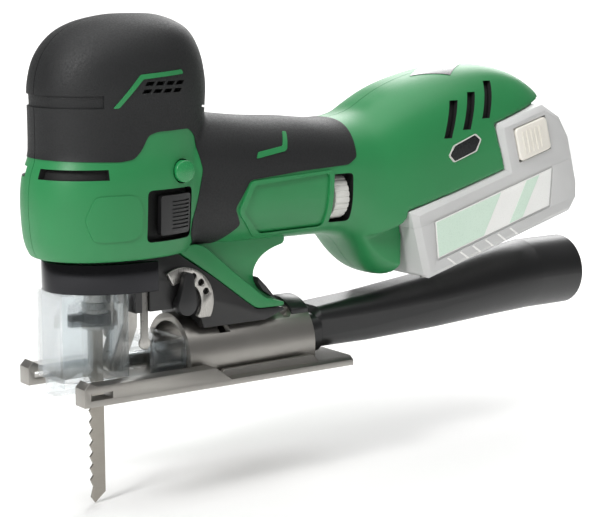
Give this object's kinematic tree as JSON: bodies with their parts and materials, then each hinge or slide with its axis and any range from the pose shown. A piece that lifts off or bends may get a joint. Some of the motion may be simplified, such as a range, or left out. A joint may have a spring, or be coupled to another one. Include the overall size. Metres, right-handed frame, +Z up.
{
  "type": "cordless jigsaw",
  "caption": "Barrel-grip cordless jigsaw with a tilting metal base, clear chip guard, dust adapter and a slide-on battery pack; drive train inside.",
  "frame": {"origin": "on the underside plane of the base plate, on the axis of the blade plunger", "axes": "-Y is the front, where the blade cuts; +X is the side with the light button; +Z is up, away from the work"},
  "size_m": [0.0784, 0.35, 0.245],
  "materials": {
    "green_shell": "fine moulded grain",
    "black_rubber": "soft textured overmould",
    "dark_casting": "satin black coated magnesium",
    "bright_casting": "bead-blasted",
    "steel": "ground",
    "chromed": "polished dark chrome",
    "clear_plastic": "clear polycarbonate",
    "black_plastic": "satin moulded",
    "grey_plastic": "satin moulded",
    "pale_case": "fine moulded grain",
    "white_plastic": "satin moulded",
    "green_button": "gloss",
    "copper": "enamelled copper wire",
    "lamination": "stacked electrical steel",
    "bronze": "oiled sintered bronze",
    "circuit": "coated circuit board",
    "cell_wrap": "heat-shrunk sleeve",
    "label_film": "printed film",
    "dark_film": "printed film",
    "blade_steel": "ground, hardened",
    "lens": "clear"
  },
  "bodies": {
    "housing": {"head_cap_left": "black_rubber", "head_cap_right": "black_rubber", "grip_left": "black_rubber", "grip_right": "black_rubber", "housing_left": "green_shell", "housing_right": "green_shell", "labels": "dark_film", "accent_strips": "green_shell", "lever_guard": "green_shell", "gear_housing": "dark_casting", "motor_stator": "lamination", "motor_coils": "copper", "bearings": "steel", "bearing_carriers": "bright_casting", "plunger_bushes": "bronze", "holder_pin": "steel", "orbital_quadrant": "steel", "front_band": "chromed", "guard_struts": "steel", "work_lamp": "lens", "switch_body": "black_plastic", "dial_sensor": "black_plastic", "controller": "circuit", "terminal_block": "black_plastic", "housing_screws": "steel"},
    "rotor": {"rotor_core": "lamination", "rotor_shaft": "steel", "cooling_fan": "black_plastic"},
    "crank": {"drive_gear": "steel", "crank_pins": "steel"},
    "plunger": {"plunger_rod": "steel", "blade_clamp": "steel", "saw_blade": "blade_steel"},
    "clamp_ring": {"clamp_ring": "black_plastic"},
    "roller_arm": {"roller_holder": "steel", "roller_pin": "steel"},
    "roller": {"guide_roller": "steel"},
    "orbit_lever": {"orbital_lever": "black_plastic"},
    "cover": {"chip_cover": "clear_plastic", "splinter_guard": "clear_plastic"},
    "base": {"base_plate": "bright_casting", "base_arch": "bright_casting", "arch_cap": "black_plastic", "dust_chute": "clear_plastic", "key_clips": "black_plastic"},
    "screw": {"tilt_screw": "steel"},
    "key": {"hex_key": "steel"},
    "adapter": {"dust_adapter": "black_plastic"},
    "switch": {"switch_pads": "black_plastic", "switch_bar": "black_plastic"},
    "light_button": {"light_button": "green_button"},
    "dial": {"speed_dial": "grey_plastic"},
    "battery": {"battery_case_lower": "pale_case", "battery_case_upper": "pale_case", "battery_cells": "cell_wrap", "battery_board": "circuit", "battery_labels": "label_film", "battery_screws": "steel"},
    "latch_left": {"latch_left": "white_plastic"},
    "latch_right": {"latch_right": "white_plastic"}
  },
  "joints": [
    {"name": "crank_spin", "type": "hinge", "parent": "housing", "child": "crank", "pos_m": [0, 0.027, 0.13], "axis": [0, 1, 0], "continuous": true},
    {"name": "rotor_spin", "type": "hinge", "parent": "housing", "child": "rotor", "pos_m": [0, 0.08, 0.102], "axis": [0, 1, 0], "continuous": true},
    {"name": "plunger_stroke", "type": "slide", "parent": "housing", "child": "plunger", "axis": [0, 0, 1], "range_m": [-0.013, 0.013]},
    {"name": "clamp_release", "type": "hinge", "parent": "plunger", "child": "clamp_ring", "pos_m": [0, 0, 0.036], "axis": [0, 0, 1], "range_deg": [0, 35], "stiffness_Nm_per_rad": 0.02},
    {"name": "roller_swing", "type": "hinge", "parent": "housing", "child": "roller_arm", "pos_m": [0, 0.017, 0.047], "axis": [1, 0, 0], "range_deg": [0, 4]},
    {"name": "roller_spin", "type": "hinge", "parent": "roller_arm", "child": "roller", "pos_m": [0, 0.00912, 0.0125], "axis": [1, 0, 0], "continuous": true},
    {"name": "orbit_select", "type": "hinge", "parent": "housing", "child": "orbit_lever", "pos_m": [0.024, 0.038, 0.0423], "axis": [1, 0, 0], "range_deg": [-66, 0]},
    {"name": "cover_slide", "type": "slide", "parent": "housing", "child": "cover", "axis": [0, -1, 0], "range_m": [0, 0.04]},
    {"name": "base_tilt", "type": "hinge", "parent": "housing", "child": "base", "pos_m": [0, 0.06, 0.012], "axis": [0, 1, 0], "range_deg": [-45, 45]},
    {"name": "tilt_screw_turn", "type": "hinge", "parent": "housing", "child": "screw", "pos_m": [0, 0.066, 0.03], "axis": [0, 0, 1], "range_deg": [-180, 180]},
    {"name": "key_slide", "type": "slide", "parent": "base", "child": "key", "axis": [0, 1, 0], "range_m": [0, 0.07]},
    {"name": "adapter_slide", "type": "slide", "parent": "base", "child": "adapter", "axis": [0, 1, 0], "range_m": [0, 0.06]},
    {"name": "switch_slide", "type": "slide", "parent": "housing", "child": "switch", "axis": [0, -1, 0], "range_m": [0, 0.0045]},
    {"name": "light_push", "type": "slide", "parent": "housing", "child": "light_button", "axis": [-1, 0, 0], "range_m": [0, 0.0015], "stiffness_N_per_m": 800},
    {"name": "dial_turn", "type": "hinge", "parent": "housing", "child": "dial", "pos_m": [0.0182, 0.132, 0.09], "axis": [0, 1, 0], "range_deg": [-135, 135]},
    {"name": "battery_slide", "type": "slide", "parent": "housing", "child": "battery", "axis": [0, 0.9636, 0.2672], "range_m": [0, 0.08]},
    {"name": "latch_left_push", "type": "slide", "parent": "battery", "child": "latch_left", "axis": [-1, 0, 0], "range_m": [0, 0.002], "stiffness_N_per_m": 1200},
    {"name": "latch_right_push", "type": "slide", "parent": "battery", "child": "latch_right", "axis": [1, 0, 0], "range_m": [0, 0.002], "stiffness_N_per_m": 1200}
  ],
  "couplings": [
    {"joint": "rotor_spin", "follows": "crank_spin", "ratio": -6}
  ]
}
